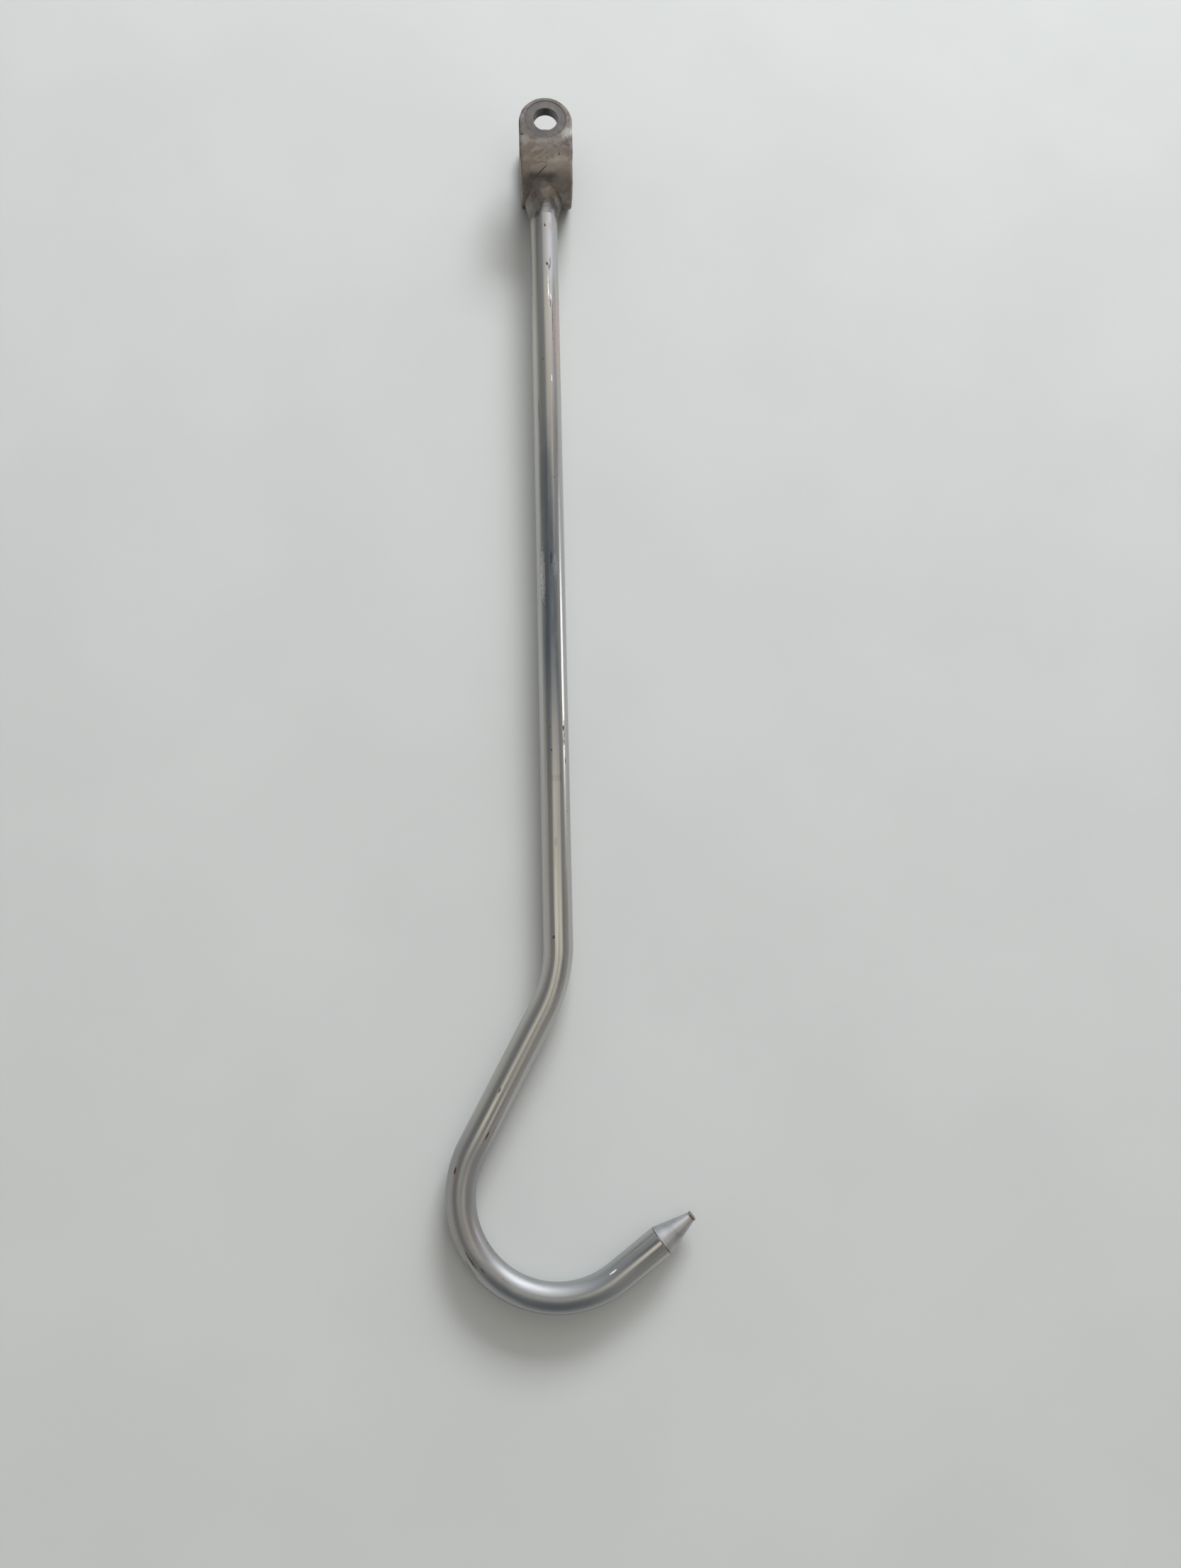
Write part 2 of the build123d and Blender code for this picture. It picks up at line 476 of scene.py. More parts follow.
def weld_outline(sizes, turn):
    """Closed outline of the bead in the plane that holds the tube's axis and this direction."""
    out = Vector((cos(turn), 0.0, sin(turn)))
    wander = noise.noise(Vector((cos(turn) * 1.7, sin(turn) * 1.7, 0.3)))
    leg = sizes.weld_leg * (1.0 + 0.05 * wander)
    foot = TUBE_RADIUS + sizes.weld_spread * (1.0 + 0.04 * wander)

    def bend_y(radius):
        return BEND_LINE - sqrt(BEND_RADIUS**2 - (radius * sin(turn)) ** 2)

    toe_y = CROWN - leg
    slope = (foot - TUBE_RADIUS) / (BEND_LINE - sqrt(BEND_RADIUS**2 - foot**2) - toe_y)
    reach = foot
    for _ in range(6):  # the face is a straight cone, so its foot is where it meets the bend
        reach = TUBE_RADIUS + slope * (bend_y(reach) - toe_y)
    points = []
    for step in range(WELD_PROFILE + 1):
        share_down = step / WELD_PROFILE
        phase = (turn / tau) * sizes.weld_steps + 0.16 * sin(pi * share_down)
        scallop = 1.0 - (2.0 * (phase - floor(phase)) - 1.0) ** 2
        fade = sin(pi * share_down)
        rough = noise.noise(Vector((out.x * 1.9, share_down * 3.0, out.z * 1.9)))
        bulge = sizes.weld_crown * fade + sizes.weld_ripple * fade * (scallop * share_down + rough)
        radius = TUBE_RADIUS + (reach - TUBE_RADIUS) * share_down**1.35
        level = toe_y + (bend_y(reach) - toe_y) * share_down
        points.append(out * (radius + bulge * 0.9) + Vector((0.0, level - bulge * 0.3, 0.0)))
    buried = TUBE_RADIUS - WELD_BURY
    points.append(out * (reach - WELD_BURY) + Vector((0.0, bend_y(reach) + WELD_BURY, 0.0)))
    points.append(out * buried + Vector((0.0, bend_y(TUBE_RADIUS) + WELD_BURY, 0.0)))
    points.append(out * buried + Vector((0.0, toe_y + WELD_BURY, 0.0)))
    return points


def build_weld(sizes):
    stack = RingStack()
    shift = Vector((sizes.tube_offset, 0.0, 0.0))
    for side in range(WELD_SIDES):
        points = weld_outline(sizes, tau * side / WELD_SIDES)
        run = [(point.x, CROWN - point.y, point.z) for point in points]
        stack.ring([point + shift for point in points], run)
    stack.close()
    return new_piece("ground_weld_bead", stack.verts, stack.faces, stack.run, sharp_angle=60.0)


# --- the fork ------------------------------------------------------------------------------

EYE_SIDES = 96
STRIP_SIDES = slice(5 * EYE_SIDES // 8, 7 * EYE_SIDES // 8 + 1)  # the eye's end at the strip
BEND_ROWS = 52
ARM_ROWS = 13
MOUTH_RUN = 0.9 * MM  # from the bore to the first ring of the seat
SEAT_RADII = (9.2 * MM, 10.5 * MM)  # rings across the seat's floor
SEAT_WALL = 0.25 * MM  # run of the sloped wall round the seat
SEAT_RINGS = 5  # how many rings lie as deep as the seat
PULL_IN_RUN = 6.0 * MM  # straight length over which the bar narrows before its bend
UNDER_BREAK = 0.3 * MM  # rounding of the outline inside the fork
MOUTH_BREAK = 0.4 * MM  # rounding of the bore's outer mouth
UNDER_MOUTH_BREAK = 0.15 * MM  # rounding of the bore's mouth inside the fork
SHARP_RIM = radians(60)


def blank_ring_radii(sizes, edge):
    """Distances from the bore's axis to each ring of the eye, the last one on the outline."""
    seat = sizes.seat_radius
    inner = [BORE_RADIUS, BORE_RADIUS + MOUTH_RUN, *SEAT_RADII, seat - SEAT_WALL, seat]
    outer = [seat + (edge - seat) * share_out for share_out in (0.35, 0.68, 1.0)]
    return inner + outer


def blank_outline(drop, half_width, turn):
    """Distance from the bore's axis to the edge of the eye: round above, a square below."""
    round_end = sqrt(half_width**2 - (drop * cos(turn)) ** 2) - drop * sin(turn)
    if round_end * sin(turn) >= -drop:
        return round_end
    return half_width / max(abs(cos(turn)), abs(sin(turn)))


def bend_length(sizes):
    """Half the length of the fork's bend, along the middle of the bar."""
    return pi * (BEND_RADIUS - sizes.bar_thickness / 2) / 2


def from_bore(place, bend_run):
    """Distance on the flat blank from the axis of the nearer bore."""
    eye = Vector((0.0, (bend_run - BEND_LINE) * (1 if place.y > 0 else -1)))
    return (place.xy - eye).length


def add_eye(sheet, sizes, end, eye_along):
    """Rings of quads round one bore of the flat blank; gives back the ring on the outline."""
    turns = [tau * side / EYE_SIDES for side in range(EYE_SIDES)]
    edges = [blank_outline(sizes.eye_drop, fork_high.x, turn) for turn in turns]
    columns = [blank_ring_radii(sizes, edge) for edge in edges]
    rings = []
    for level in range(len(columns[0])):
        height = sizes.bar_thickness - (sizes.seat_depth if level < SEAT_RINGS else 0.0)
        ring = []
        for turn, column in zip(turns, columns):
            radius = column[level]
            place = (radius * cos(turn), end * (eye_along + radius * sin(turn)), height)
            ring.append(sheet.verts.new(place))
        rings.append(ring)
    for first, second in zip(rings, rings[1:]):
        for quad in bridge(first, second):
            sheet.faces.new(quad)
    return rings[-1]


def flat_blank(sizes, bend_run):
    """The fork before bending: a strip with an eye at each end, as a sheet of quads.

    Each vertex is (across, along, height): along runs from one bore past the bend to the other.
    """
    sheet = bmesh.new()
    eye_along = bend_run - BEND_LINE
    start, finish = [add_eye(sheet, sizes, end, eye_along)[STRIP_SIDES] for end in (1, -1)]
    rows = [start]
    count = BEND_ROWS + 2 * ARM_ROWS
    for row in range(1, count):
        share_down = row / count
        rows.append([
            sheet.verts.new(a.co.lerp(b.co, share_down)) for a, b in zip(start, finish)
        ])
    rows.append(finish)
    for first, second in zip(rows, rows[1:]):
        for i in range(len(first) - 1):
            sheet.faces.new((first[i], first[i + 1], second[i + 1], second[i]))
    return sheet


def bend_blank(sizes, place, bend_run):
    """Where a point of the flat blank lands once the bar is bent over."""
    across, along, height = place
    inner = BEND_RADIUS - sizes.bar_thickness
    side = 1.0 if along >= 0 else -1.0
    past = abs(along) - bend_run
    nearness = eased(1.0 - past / PULL_IN_RUN)
    squeeze = sizes.bend_pull_in * nearness * max(height, 0.0) / sizes.bar_thickness
    across *= 1.0 - squeeze / fork_high.x
    radius = inner + height
    if past >= 0:
        return Vector((across, BEND_LINE + past, side * radius))
    turn = along / bend_run * pi / 2
    return Vector((across, BEND_LINE - radius * cos(turn), radius * sin(turn)))


def worn(sizes, place, is_rim):
    """Small inward shifts: scale and hammer marks on the faces, a hand-ground outline."""
    lumps = 0.5 + 0.5 * noise.noise(place * 240.0)
    dents = max(0.0, noise.noise(place * 95.0 + Vector((3.0, 0.0, 0.0))))
    depth = sizes.bar_lumps * (0.55 * lumps + 1.1 * dents)
    if is_rim:
        wander = 0.5 + 0.5 * noise.noise(Vector((place.x, place.y, place.z * 0.4)) * 150.0)
        depth += sizes.outline_wander * wander**2
    return depth


def rim_edges(sheet, sizes, bend_run, top, hole):
    """Sharp edges of the blank's upper or lower face, round its bores or along its outline."""
    picked = []
    for edge in sheet.edges:
        if edge.calc_face_angle(0.0) < SHARP_RIM:
            continue
        first, second = (vertex.co for vertex in edge.verts)
        is_top = min(first.z, second.z) > sizes.bar_thickness / 2
        is_hole = from_bore((first + second) / 2, bend_run) < BORE_RADIUS * 1.05
        is_flat = abs(first.z - second.z) < 0.1 * MM
        if is_flat and is_top == top and is_hole == hole:
            picked.append(edge)
    return picked


def break_edges(sheet, sizes, bend_run):
    """Rounds the blank's outline and the mouths of its bores, on both faces."""
    for top, hole, offset in (
        (True, False, sizes.edge_rounding),
        (False, False, UNDER_BREAK),
        (True, True, MOUTH_BREAK),
        (False, True, UNDER_MOUTH_BREAK),
    ):
        edges = rim_edges(sheet, sizes, bend_run, top, hole)
        bmesh.ops.bevel(sheet, geom=edges, offset=offset, segments=3, profile=0.5, affect="EDGES")


def wear_and_bend(sheet, sizes, bend_run):
    """Sinks the marks of use into the flat blank and bends it over."""
    moved = {}
    for vertex in sheet.verts:
        normal = vertex.normal
        in_bore = from_bore(vertex.co, bend_run) < BORE_RADIUS + 0.5 * MM
        place = bend_blank(sizes, vertex.co, bend_run)
        depth = 0.0 if in_bore else worn(sizes, place, abs(normal.z) < 0.9)
        moved[vertex] = bend_blank(sizes, vertex.co - normal * depth, bend_run)
    for vertex, place in moved.items():
        vertex.co = place


def build_fork(sizes):
    bend_run = bend_length(sizes)
    sheet = flat_blank(sizes, bend_run)
    grown = bmesh.ops.extrude_face_region(sheet, geom=sheet.faces[:], use_keep_orig=True)
    for item in grown["geom"]:
        if isinstance(item, bmesh.types.BMVert):
            item.co.z = 0.0
    bmesh.ops.recalc_face_normals(sheet, faces=sheet.faces[:])
    break_edges(sheet, sizes, bend_run)
    bmesh.ops.recalc_face_normals(sheet, faces=sheet.faces[:])
    sheet.normal_update()
    wear_and_bend(sheet, sizes, bend_run)
    bmesh.ops.recalc_face_normals(sheet, faces=sheet.faces[:])
    mesh = bpy.data.meshes.new("heat_tinted_fork")
    sheet.to_mesh(mesh)
    sheet.free()
    return link_piece(mesh, 32.0)


# --- shader helpers ------------------------------------------------------------------------


class Nodes:
    """Short calls for the few shader nodes that the metal, the table and the room need."""

    def __init__(self, tree):
        self.tree = tree

    def node(self, kind, **settings):
        made = self.tree.nodes.new(kind)
        for name, value in settings.items():
            setattr(made, name, value)
        return made

    def link(self, source, target):
        self.tree.links.new(source, target)

    def feed(self, socket, value):
        """Links a socket, or sets a plain number, vector or colour."""
        if isinstance(value, bpy.types.NodeSocket):
            self.link(value, socket)
        elif socket.type == "RGBA":
            socket.default_value = (*value, 1.0)
        else:
            socket.default_value = value

    def vector(self, operation, first, second=(0.0, 0.0, 0.0), output=0):
        made = self.node("ShaderNodeVectorMath", operation=operation)
        self.feed(made.inputs[0], first)
        self.feed(made.inputs[1], second)
        return made.outputs[output]

    def math(self, operation, first, second=0.0):
        made = self.node("ShaderNodeMath", operation=operation)
        self.feed(made.inputs[0], first)
        self.feed(made.inputs[1], second)
        return made.outputs[0]

    def times(self, first, second):
        return self.math("MULTIPLY", first, second)

    def plus(self, first, second):
        return self.math("ADD", first, second)

    def minus(self, first, second):
        return self.math("SUBTRACT", first, second)

    def swing(self, value, size):
        """Turns a noise of 0 to 1 into one that swings evenly about nought."""
        return self.times(self.minus(value, 0.5), size)

    def part(self, vector, axis):
        made = self.node("ShaderNodeSeparateXYZ")
        self.link(vector, made.inputs[0])
        return made.outputs[axis]

    def noise(self, vector, scale, detail=4.0, rough=0.55, distortion=0.0):
        """Noise of about 0 to 1; the scale is per metre, one number or one for each axis."""
        if isinstance(scale, tuple):
            vector, scale = self.vector("MULTIPLY", vector, scale), 1.0
        made = self.node("ShaderNodeTexNoise")
        self.link(vector, made.inputs["Vector"])
        made.inputs["Scale"].default_value = scale
        made.inputs["Detail"].default_value = detail
        made.inputs["Roughness"].default_value = rough
        made.inputs["Distortion"].default_value = distortion
        return made.outputs["Fac"]

    def spread(self, value, low, high, out_low=0.0, out_high=1.0):
        """Maps low..high smoothly to out_low..out_high, held at both ends."""
        made = self.node("ShaderNodeMapRange", interpolation_type="SMOOTHSTEP")
        self.link(value, made.inputs["Value"])
        made.inputs["From Min"].default_value = low
        made.inputs["From Max"].default_value = high
        made.inputs["To Min"].default_value = out_low
        made.inputs["To Max"].default_value = out_high
        return made.outputs["Result"]

    def mix(self, amount, first, second):
        """Mixes two colours; each is a colour triple or a socket."""
        made = self.node("ShaderNodeMix", data_type="RGBA")
        self.link(amount, made.inputs["Factor"])
        self.feed(made.inputs[6], first)
        self.feed(made.inputs[7], second)
        return made.outputs[2]

    def layer(self, under, mask, strength, shade):
        """Lays a colour over the one under it where the mask is, at most at this strength."""
        return self.mix(self.times(mask, strength), under, shade)

    def between(self, value, low, high, soft):
        """1 inside low..high, 0 outside, with soft borders."""
        rise = self.spread(value, low - soft, low + soft)
        return self.times(rise, self.spread(value, high - soft, high + soft, 1.0, 0.0))


class Finish(Nodes):
    """A material whose shader is fed by these nodes."""

    def __init__(self, name, metallic):
        self.material = bpy.data.materials.new(name)
        self.material.use_nodes = True
        super().__init__(self.material.node_tree)
        self.shader = self.tree.nodes["Principled BSDF"]
        self.shader.inputs["Metallic"].default_value = metallic
        self.normal = None

    def straight_place(self):
        """Place on the straightened part: across, along and height."""
        return self.node("ShaderNodeAttribute", attribute_name="run").outputs["Vector"]

    def object_place(self):
        return self.node("ShaderNodeTexCoord").outputs["Object"]

    def bump(self, height, strength, distance):
        """Adds one more layer of bumps over the ones before it."""
        made = self.node("ShaderNodeBump")
        made.inputs["Strength"].default_value = strength
        made.inputs["Distance"].default_value = distance
        self.link(height, made.inputs["Height"])
        if self.normal is not None:
            self.link(self.normal, made.inputs["Normal"])
        self.normal = made.outputs["Normal"]

    def done(self, colour_socket, rough_socket):
        self.link(colour_socket, self.shader.inputs["Base Color"])
        self.link(rough_socket, self.shader.inputs["Roughness"])
        self.link(self.normal, self.shader.inputs["Normal"])
        return self.material


def wrapped_place(f, run):
    """Unrolled skin of the tube: way round from the top, way along, and nothing."""
    across, height = f.part(run, 0), f.part(run, 2)
    turn = f.math("ARCTAN2", across, height)
    skin = f.node("ShaderNodeCombineXYZ")
    f.link(f.times(turn, TUBE_RADIUS), skin.inputs[0])
    f.link(f.part(run, 1), skin.inputs[1])
    return skin.outputs[0]


def turned_about_z(f, vector, turn):
    made = f.node("ShaderNodeVectorRotate", rotation_type="Z_AXIS")
    f.link(vector, made.inputs["Vector"])
    made.inputs["Angle"].default_value = turn
    return made.outputs["Vector"]


def patch(f, skin, wobble, middle, half, softness=0.35, turn=0.0):
    """A ragged oval patch on an unrolled skin; middle and half are in mm, turn in degrees."""
    away = f.vector("SUBTRACT", skin, (middle[0] * MM, middle[1] * MM, 0.0))
    if turn:
        away = turned_about_z(f, away, radians(-turn))
    away = f.vector("MULTIPLY", away, (1 / (half[0] * MM), 1 / (half[1] * MM), 0.0))
    distance = f.vector("LENGTH", away, output="Value")
    distance = f.plus(distance, wobble)
    return f.spread(distance, 1.0 + softness, 1.0 - softness)


# Marks on the tube: (round, along) of the middle and half sizes in mm, colour, strength.
# PAINTED_GLINT_SCRATCH marks real scratches, painted white as a painted glint of the light in their
# grooves.
DARK, RUST, PAINTED_GLINT_SCRATCH = (0.05, 0.045, 0.045), (0.14, 0.05, 0.03), (0.93, 0.93, 0.92)
TUBE_MARKS = (
    ((0.5, 19.4), (0.5, 1.0), DARK, 0.9),
    ((4.0, 19.6), (1.3, 2.2), (0.45, 0.38, 0.33), 0.6),
    ((1.4, 43.6), (0.6, 0.9), DARK, 0.95),
    ((2.6, 45.6), (0.3, 1.6), DARK, 0.8),
    ((2.2, 56.0), (0.18, 4.5), DARK, 0.75),
    ((2.9, 66.5), (0.22, 3.5), DARK, 0.8),
    ((3.3, 42.5), (0.35, 3.0), (0.20, 0.13, 0.11), 0.7),
    ((1.9, 59.0), (0.30, 7.0), PAINTED_GLINT_SCRATCH, 1.0),
    ((3.2, 64.0), (0.35, 2.2), PAINTED_GLINT_SCRATCH, 0.9),
    ((4.1, 78.0), (0.25, 12.0), (0.13, 0.10, 0.09), 0.75),
    ((-5.4, 133.0), (0.3, 7.0), (0.20, 0.15, 0.12), 0.6),
    ((2.8, 114.0), (0.25, 2.0), PAINTED_GLINT_SCRATCH, 1.0),
    ((0.5, 221.0), (0.8, 3.6), (0.12, 0.14, 0.18), 0.7),
    ((-4.6, 231.0), (1.3, 14.0), (0.80, 0.78, 0.72), 0.75),
    ((2.6, 225.0), (1.5, 6.0), (0.72, 0.80, 0.86), 0.45),
    ((5.4, 316.4), (0.7, 1.1), DARK, 0.95),
    ((6.0, 319.0), (0.30, 6.5), DARK, 0.85),
    ((5.1, 323.0), (0.22, 3.0), DARK, 0.7),
    ((6.4, 334.0), (0.30, 1.2), DARK, 0.7),
    ((-0.2, 378.0), (0.9, 2.6), (0.40, 0.41, 0.38), 0.6),
    ((2.9, 447.0), (1.2, 9.0), (0.33, 0.34, 0.33), 0.55),
    ((-1.2, 512.5), (0.35, 1.2), DARK, 0.85),
    ((3.9, 535.0), (0.45, 2.6), RUST, 0.8),
    ((-4.4, 556.5), (0.6, 1.5), RUST, 0.95),
    ((-3.2, 599.0), (0.5, 4.0), (0.12, 0.08, 0.06), 0.8),
    ((-6.6, 602.0), (0.5, 4.5), (0.12, 0.08, 0.06), 0.7),
    ((-1.3, 606.0), (0.4, 2.0), DARK, 0.7),
    ((5.1, 679.5), (0.3, 2.6), PAINTED_GLINT_SCRATCH, 0.9),
)

WELD_BARE = (0.50, 0.505, 0.52)  # bare frosted steel beside the weld
# Marks on the fork's upper arm and bend: (x, y) of the middle, half sizes, turn, colour, strength.
FORK_MARKS = (
    ((3.0, -29.5), (11.0, 3.4), 35, (0.36, 0.325, 0.28), 0.60),
    ((-9.5, -25.0), (4.5, 2.6), 18, (0.24, 0.19, 0.15), 0.55),
    ((2.5, -19.0), (5.5, 1.8), -25, (0.24, 0.19, 0.165), 0.45),
    ((2.5, -13.8), (9.0, 1.6), 5, (0.36, 0.325, 0.29), 0.55),
    ((10.5, -32.0), (3.6, 6.0), 0, (0.34, 0.295, 0.265), 0.50),
    ((12.6, -8.6), (2.6, 3.6), -25, (0.58, 0.58, 0.56), 0.80),
    ((-12.0, -13.5), (3.0, 2.6), 0, (0.40, 0.375, 0.35), 0.60),
    ((-9.5, -38.0), (3.6, 3.4), 0, (0.14, 0.135, 0.125), 0.30),
    ((-2.6, -32.3), (4.2, 0.35), 42, (0.05, 0.04, 0.035), 0.80),
    ((7.4, -22.6), (0.45, 0.95), 0, (0.04, 0.035, 0.03), 0.90),
    ((-13.9, -9.8), (0.8, 0.8), 0, (0.05, 0.045, 0.04), 0.80),
)


# Stretches of the tube by distance from the fork's bend, and sides by way round from the top.
FROSTED_RUN, FROSTED_SIDES = (0.0, 0.050), (-0.0008, 0.0105)
ROSY_RUN = (0.066, 0.105)
# The darker band on top of the middle stretch is a painted dark reflection.
PAINTED_DARK_REFLECTION_RUN, PAINTED_DARK_REFLECTION_SIDES = (0.146, 0.288), (-0.0060, 0.0030)
BLUE_RUN = (0.175, 0.300)
# The thin line across the tube there is the painted edge of a reflection.
PAINTED_REFLECTION_EDGE_RUN, PAINTED_REFLECTION_EDGE_SIDES = (0.3420, 0.3455), (-0.0024, 0.0035)
LEAN_RUN = (0.435, 0.545)
HOT_RUN = (0.541, 0.600)
SATIN_RUN = (0.541, 0.690)
BRUISED_RUN = (0.585, 0.635)
# The darker band round the hook's bend is a painted dark reflection.
PAINTED_BOW_REFLECTION_RUN, PAINTED_BOW_REFLECTION_SIDES = (0.606, 0.668), (-0.0045, 0.0016)


def weld_tint_and_dark_reflection(f, steel, run, around, smears):
    """Heat tint that the weld left on the tube, and a painted dark reflection along its upper left
    side: the colour, and how burnt the steel is.
    """
    along = f.part(run, 1)
    reach = f.plus(along, f.swing(smears, 0.006))
    left_side = f.spread(around, 0.0, -0.0040, 0.25, 1.0)
    tint = f.times(f.spread(reach, 0.012, 0.036, 0.85, 0.0), left_side)
    steel = f.mix(tint, steel, (0.33, 0.315, 0.30))
    # Painted reflection: a darker band on the upper left of the tube below the weld, where the dark
    # room shows in the steel.
    painted_reflection_near_weld = f.times(f.spread(along, 0.020, 0.100, 0.8, 0.0), f.spread(around, -0.0015, -0.0050))
    painted_reflection_near_weld = f.times(painted_reflection_near_weld, f.spread(smears, 0.25, 0.6, 0.6, 1.0))
    steel = f.mix(painted_reflection_near_weld, steel, (0.36, 0.345, 0.33))
    burnt, burn_shade = weld_heat(f, run, f.object_place())
    return f.mix(burnt, steel, burn_shade), burnt


def marked_steel(f, steel, skin):
    """Scratches, nicks and rust: the colour, where the nicks are and where scratches are painted white
    as a glint.
    """
    wobble = f.swing(f.noise(skin, (1300.0, 480.0, 0.0), 4.0, 0.65), 2.6)
    nicks = pale = 0.0
    for middle, half, shade, strength in TUBE_MARKS:
        mark = patch(f, skin, wobble, middle, half)
        steel = f.layer(steel, mark, strength, shade)
        if shade is DARK:
            nicks = f.math("MAXIMUM", nicks, mark)
        if shade is PAINTED_GLINT_SCRATCH:
            pale = f.math("MAXIMUM", pale, mark)
    return steel, nicks, pale


def tube_finish(look):
    """Hand-polished stainless: streaks along the tube, cloudy zones, heat tint, nicks and rust, with
    dark reflections, a reflection edge and glints on scratches painted into the colour.
    """
    f = Finish("polished_stainless_tube", 1.0)
    run = f.straight_place()
    skin = wrapped_place(f, run)
    around, along = f.part(skin, 0), f.part(skin, 1)
    streaks = f.noise(run, (430.0, 6.0, 430.0), 6.0, 0.62)
    clouds = f.noise(run, (55.0, 13.0, 55.0), 5.0, 0.6)
    smears = f.noise(run, (150.0, 36.0, 150.0), 5.0, 0.65, 0.5)
    rings = f.noise(run, (60.0, 900.0, 60.0), 3.0, 0.6)

    def zone(stretch, soft, sides, side_soft):
        return f.times(f.between(along, *stretch, soft), f.between(around, *sides, side_soft))

    steel = f.mix(f.spread(streaks, 0.36, 0.68), look.tube_light, look.tube_dark)
    steel = f.mix(f.spread(clouds, 0.52, 0.80, 0.0, 0.5), steel, (0.50, 0.485, 0.46))
    blue = f.times(f.between(along, *BLUE_RUN, 0.05), f.spread(smears, 0.3, 0.7, 0.5, 1.0))
    steel = f.layer(steel, blue, 0.45, (0.47, 0.51, 0.55))
    rosy = f.times(f.between(along, *ROSY_RUN, 0.010), f.spread(around, 0.0036, 0.0046))
    steel = f.layer(steel, rosy, 0.7, (0.62, 0.50, 0.46))
    satin = f.between(along, *SATIN_RUN, 0.016)
    dull = f.times(f.between(along, *HOT_RUN, 0.016), f.spread(smears, 0.25, 0.65, 0.65, 1.0))
    steel = f.layer(steel, satin, 0.55, (0.47, 0.495, 0.52))
    steel = f.layer(steel, dull, 0.65, (0.37, 0.36, 0.365))
    bruise = f.times(f.between(along, *BRUISED_RUN, 0.02), f.spread(smears, 0.45, 0.62))
    steel = f.layer(steel, bruise, 0.35, (0.36, 0.30, 0.27))

    frosted = zone(FROSTED_RUN, 0.009, FROSTED_SIDES, 0.0007)
    frosted = f.times(frosted, f.spread(smears, 0.28, 0.5, 0.45, 1.0))
    steel = f.layer(steel, frosted, 0.8, WELD_BARE)
    steel, burnt = weld_tint_and_dark_reflection(f, steel, run, around, smears)

    cloudy = f.spread(smears, 0.25, 0.6, 0.4, 0.85)
    # Painted reflection: the top of the middle stretch is darkened where the dark room overhead shows
    # in the steel.
    painted_dark_reflection = f.times(zone(PAINTED_DARK_REFLECTION_RUN, 0.030, PAINTED_DARK_REFLECTION_SIDES, 0.0018), cloudy)
    steel = f.mix(painted_dark_reflection, steel, (0.325, 0.34, 0.36))
    # Painted reflection: one side of the hook's bend is darkened where the dark room shows in the
    # steel.
    painted_bow_reflection = f.times(zone(PAINTED_BOW_REFLECTION_RUN, 0.016, PAINTED_BOW_REFLECTION_SIDES, 0.0016), cloudy)
    steel = f.mix(painted_bow_reflection, steel, (0.27, 0.30, 0.33))
    # Painted reflection: a thin brownish line across the top where the edge of the pale ceiling shows
    # in the steel.
    painted_reflection_edge = zone(PAINTED_REFLECTION_EDGE_RUN, 0.0008, PAINTED_REFLECTION_EDGE_SIDES, 0.0004)
    painted_reflection_edge = f.times(painted_reflection_edge, f.spread(streaks, 0.42, 0.6, 0.35, 1.0))
    steel = f.layer(steel, painted_reflection_edge, 0.55, (0.36, 0.29, 0.20))
    steel, nicks, pale = marked_steel(f, steel, skin)
    # The glinting scratches lose their metal so that their painted white glint shows.
    f.link(f.minus(1.0, f.times(pale, 0.9)), f.shader.inputs["Metallic"])
    specks = f.noise(run, (330.0, 240.0, 330.0), 2.0, 0.5)
    steel = f.mix(f.spread(specks, 0.74, 0.78, 0.0, 0.7), steel, (0.13, 0.085, 0.055))

    rough = f.spread(clouds, 0.3, 0.75, look.tube_polish - 0.04, look.tube_polish + 0.08)
    rough = f.plus(rough, f.spread(streaks, 0.35, 0.7, -0.03, 0.04))
    rough = f.plus(rough, f.times(f.math("MAXIMUM", burnt, frosted), 0.17))
    rough = f.plus(rough, f.times(satin, 0.19))
    rough = f.plus(rough, f.times(f.between(along, *LEAN_RUN, 0.03), 0.06))
    f.bump(rings, 0.05, 0.00002)
    f.bump(streaks, 0.14, 0.00004)
    f.bump(f.minus(1.0, nicks), 0.6, 0.00015)
    return f.done(steel, rough)


def plug_finish(look, sizes):
    """Turned steel with fine lathe rings, a dark seam edge and a rough brown stub."""
    f = Finish("turned_stainless_plug", 1.0)
    run = f.straight_place()
    along = f.part(run, 1)
    rings = f.noise(run, (40.0, 5200.0, 40.0), 3.0, 0.6)
    patches = f.noise(run, 190.0, 5.0, 0.6)
    grain = f.noise(run, 1500.0, 5.0, 0.7)
    steel = f.mix(f.spread(patches, 0.35, 0.75), look.cone_light, (0.41, 0.41, 0.42))
    steel = f.mix(f.spread(rings, 0.4, 0.75, 0.0, 0.35), steel, (0.42, 0.42, 0.43))
    seam = f.spread(along, 0.0, sizes.edge_break * 1.6, 1.0, 0.0)
    steel = f.mix(seam, steel, (0.05, 0.045, 0.04))
    start = f.plus(along, f.times(patches, 0.0011))
    torn = f.spread(start, sizes.cone_length, sizes.cone_length + 0.0006)
    brown = f.mix(f.spread(grain, 0.36, 0.56), look.stub_brown, (0.55, 0.50, 0.46))
    brown = f.mix(f.spread(patches, 0.52, 0.6), brown, (0.07, 0.05, 0.04))
    steel = f.mix(torn, steel, brown)
    rough = f.plus(f.spread(rings, 0.3, 0.75, 0.34, 0.46), f.times(torn, 0.30))
    f.bump(rings, 0.25, 0.00003)
    f.bump(f.times(grain, torn), 0.7, 0.0003)
    return f.done(steel, rough)


